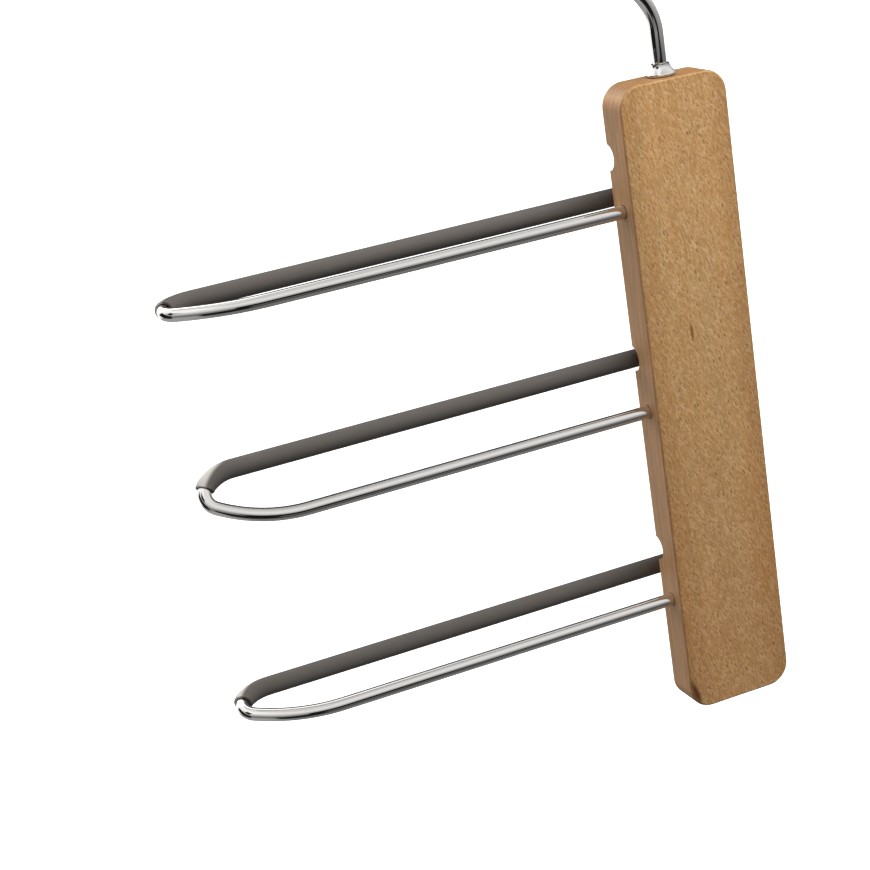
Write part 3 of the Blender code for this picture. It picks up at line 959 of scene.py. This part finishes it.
# Soft lamps and dark screens in the room, each over the ones before it:
# azimuth, elevation, half width, half height, lean (degrees), softness, light
SURROUNDINGS = (
    (-115, -55, 50, 26, 0, 0.4, 0.4),
    (-148, 20, 38, 48, 0, 0.25, 1.25),
    (-171, 36, 22, 24, 0, 0.25, 4.5),
    (154, 4, 26, 46, 0, 0.25, 0.1),
    (-80, 56, 34, 18, 0, 0.3, 1.15),
    (-97, -10, 38, 23, -28, 0.2, 0.012),
    (-67, 26, 14, 15, -28, 0.3, 0.03),
    (0, -38, 28, 20, 16, 0.1, 0.012),
    (24, -33, 18, 10, 10, 0.15, 0.12),
    (4, -13, 13, 12, 1, 0.12, 0.01),
)
WHITE = (1.0, 1.0, 1.0, 1.0)
KEY_AZIMUTH = math.radians(25)
KEY_ELEVATION = math.radians(60)
KEY_DISTANCE = 1.1
KEY_WIDTH = 0.8
KEY_HEIGHT = 0.6
KEY_POWER = 14.0


def screen_group():
    """How much of a direction is covered by a soft-edged rectangular screen or lamp."""
    vector = "NodeSocketVector"
    tree, given, result = new_group(
        "studio_screen",
        [
            ("Direction", vector, None),
            ("Facing", vector, None),
            ("Across", vector, None),
            ("Upright", vector, None),
            ("Softness", "NodeSocketFloat", 0.3),
        ],
        [("Cover", "NodeSocketFloat")],
    )

    def along(axis):
        inputs = {0: given["Direction"], 1: given[axis]}
        return put(tree, "ShaderNodeVectorMath", inputs, operation="DOT_PRODUCT").outputs["Value"]

    ahead = math_of(tree, "MAXIMUM", along("Facing"), 0.0001)
    aside = math_of(tree, "ABSOLUTE", math_of(tree, "DIVIDE", along("Across"), ahead))
    above = math_of(tree, "ABSOLUTE", math_of(tree, "DIVIDE", along("Upright"), ahead))
    inner = math_of(tree, "SUBTRACT", 1.0, given["Softness"])
    outer = math_of(tree, "ADD", 1.0, given["Softness"])
    cover = remap(tree, math_of(tree, "MAXIMUM", aside, above), outer, inner)
    tree.links.new(cover, result.inputs["Cover"])
    return tree


def room_light(tree, facing):
    """The room's light in a direction, from a ramp along its height."""
    height = math_of(tree, "MULTIPLY_ADD", split(tree, facing)["Z"], 0.5, 0.5)
    room = put(tree, "ShaderNodeValToRGB", {"Fac": height})
    stops = room.color_ramp.elements
    for elevation, _ in ROOM_LIGHT[1:-1]:
        stops.new((1 + math.sin(math.radians(elevation))) / 2)
    for stop, (_, value) in zip(stops, ROOM_LIGHT):
        stop.color = (value, value, value, 1.0)
    return room.outputs["Color"]


def add_surroundings():
    """A bright room above, a dim one below, with lamps and screens; the camera itself sees plain white."""
    screen = screen_group()
    world = bpy.data.worlds.new("studio")
    bpy.context.scene.world = world
    world.use_nodes = True
    tree = world.node_tree
    tree.nodes.clear()
    facing = put(tree, "ShaderNodeTexCoord").outputs["Generated"]
    light = room_light(tree, facing)
    for azimuth, elevation, half_width, half_height, lean, softness, value in SURROUNDINGS:
        ahead = direction(math.radians(azimuth), math.radians(elevation))
        level = ahead.cross(Vector((0, 0, 1))).normalized()
        lean_turn = Matrix.Rotation(math.radians(lean), 3, ahead)
        inputs = {
            "Direction": facing,
            "Facing": ahead,
            "Across": (lean_turn @ level) / math.tan(math.radians(half_width)),
            "Upright": (lean_turn @ level.cross(ahead)) / math.tan(math.radians(half_height)),
            "Softness": softness,
        }
        light = mixed(tree, place_group(tree, screen, inputs)["Cover"], light, (value,) * 3)
    studio = put(tree, "ShaderNodeBackground", {"Color": light, "Strength": 1.0}).outputs[0]
    plain = put(tree, "ShaderNodeBackground", {"Color": WHITE, "Strength": 1.0}).outputs[0]
    seen = put(tree, "ShaderNodeLightPath").outputs["Is Camera Ray"]
    both = put(tree, "ShaderNodeMixShader", {0: seen, 1: studio, 2: plain}).outputs[0]
    put(tree, "ShaderNodeOutputWorld", {"Surface": both})


def add_key_light():
    """A soft lamp from the upper front, which doesn't show in the chrome."""
    data = bpy.data.lights.new("key_softbox", "AREA")
    data.shape = "RECTANGLE"
    data.size = KEY_WIDTH
    data.size_y = KEY_HEIGHT
    data.energy = KEY_POWER
    lamp = in_scene("key_softbox", data)
    aim = PIVOTS["middle"]
    spot = aim + KEY_DISTANCE * direction(KEY_AZIMUTH, KEY_ELEVATION)
    turn = (aim - spot).to_track_quat("-Z", "Y").to_matrix().to_4x4()
    lamp.matrix_world = Matrix.Translation(spot) @ turn
    lamp.visible_camera = False
    lamp.visible_glossy = False


for level in PIVOTS:
    dress_tier(level)
dress(beech_board(), "spine_board", "board", "beech")
dress_hook()
add_camera()
add_floor()
add_surroundings()
add_key_light()
bpy.context.scene.view_settings.view_transform = "Standard"
